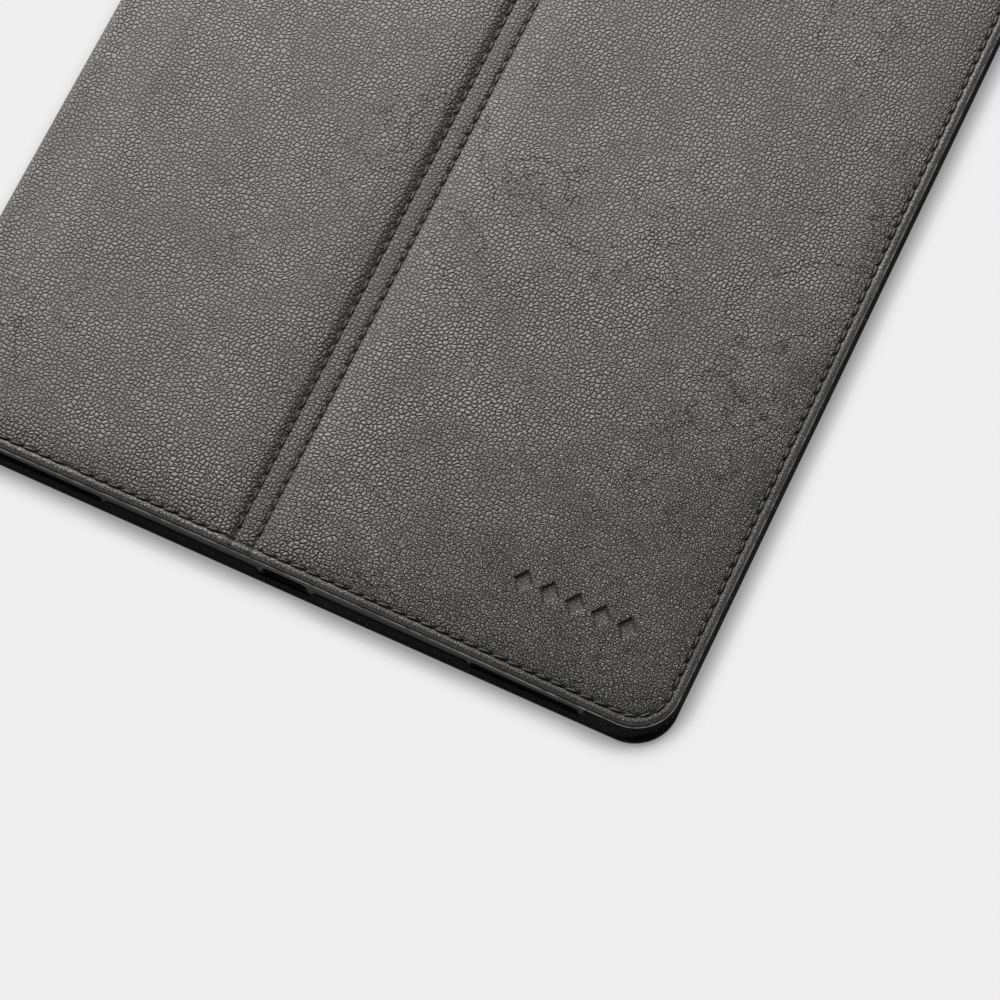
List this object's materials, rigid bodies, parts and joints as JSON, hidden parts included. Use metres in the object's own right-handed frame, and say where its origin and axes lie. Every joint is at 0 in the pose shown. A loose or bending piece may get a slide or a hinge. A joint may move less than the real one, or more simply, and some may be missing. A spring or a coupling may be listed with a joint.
{
  "type": "tablet case",
  "caption": "Book-style leather folio case for a tablet: snap-in tray on the back cover, spine, and a front cover in two panels that fold along a sewn strip.",
  "frame": {"origin": "centre of the footprint, on the surface that the closed case lies on", "axes": "+Y towards the tablet's top edge (away from the charging port), +X from the spine to the free edge, +Z out of the front cover"},
  "size_m": [0.1826, 0.2542, 0.0139],
  "materials": {
    "leather": "black pebbled full-grain leather, low sheen",
    "microfibre_lining": "black brushed microfibre",
    "stiffener_board": "dense grey board, matt",
    "tray_plastic": "dark grey moulded polycarbonate, satin",
    "adhesive_tape": "double-sided acrylic foam tape",
    "seam_thread": "black bonded polyester thread",
    "magnet_nickel": "bright nickel plate"
  },
  "bodies": {
    "back": {"back_leather": "leather", "back_board": "stiffener_board", "back_lining": "microfibre_lining", "tray_adhesive": "adhesive_tape", "tray_floor": "tray_plastic", "tray_camera_plate": "tray_plastic", "tray_wall_left": "tray_plastic", "tray_wall_right": "tray_plastic", "tray_wall_lower": "tray_plastic", "tray_wall_upper": "tray_plastic", "tray_corner_lower_left": "tray_plastic", "tray_corner_lower_right": "tray_plastic", "tray_corner_upper_left": "tray_plastic", "tray_corner_upper_right": "tray_plastic", "back_edge_seam": "seam_thread", "keeper_plate_lower": "magnet_nickel", "keeper_plate_upper": "magnet_nickel"},
    "spine": {"spine_leather": "leather", "spine_board": "stiffener_board", "spine_lining": "microfibre_lining"},
    "narrow_panel": {"narrow_panel_leather": "leather", "narrow_panel_board": "stiffener_board", "narrow_panel_lining": "microfibre_lining", "narrow_seam_lower": "seam_thread", "narrow_seam_upper": "seam_thread", "stand_magnet_lower": "magnet_nickel", "stand_magnet_upper": "magnet_nickel"},
    "fold_strip": {"fold_leather": "leather", "fold_lining": "microfibre_lining", "fold_seam_inner": "seam_thread", "fold_seam_outer": "seam_thread"},
    "wide_panel": {"wide_panel_leather": "leather", "wide_panel_board": "stiffener_board", "wide_panel_lining": "microfibre_lining", "wide_edge_seam": "seam_thread", "closing_magnet_1": "magnet_nickel", "closing_magnet_2": "magnet_nickel", "closing_magnet_3": "magnet_nickel", "closing_magnet_4": "magnet_nickel", "sleep_magnet": "magnet_nickel"}
  },
  "joints": [
    {"name": "spine_hinge", "type": "hinge", "parent": "back", "child": "spine", "pos_m": [-0.0905, 0, 0.0008], "axis": [0, -1, 0], "range_deg": [0, 90]},
    {"name": "cover_hinge", "type": "hinge", "parent": "spine", "child": "narrow_panel", "pos_m": [-0.0905, 0, 0.0131], "axis": [0, -1, 0], "range_deg": [0, 90]},
    {"name": "fold_inner_hinge", "type": "hinge", "parent": "narrow_panel", "child": "fold_strip", "pos_m": [-0.0108, 0, 0.014], "axis": [0, -1, 0], "range_deg": [0, 85]},
    {"name": "fold_outer_hinge", "type": "hinge", "parent": "fold_strip", "child": "wide_panel", "pos_m": [-0.0052, 0, 0.014], "axis": [0, -1, 0], "range_deg": [0, 85]}
  ]
}
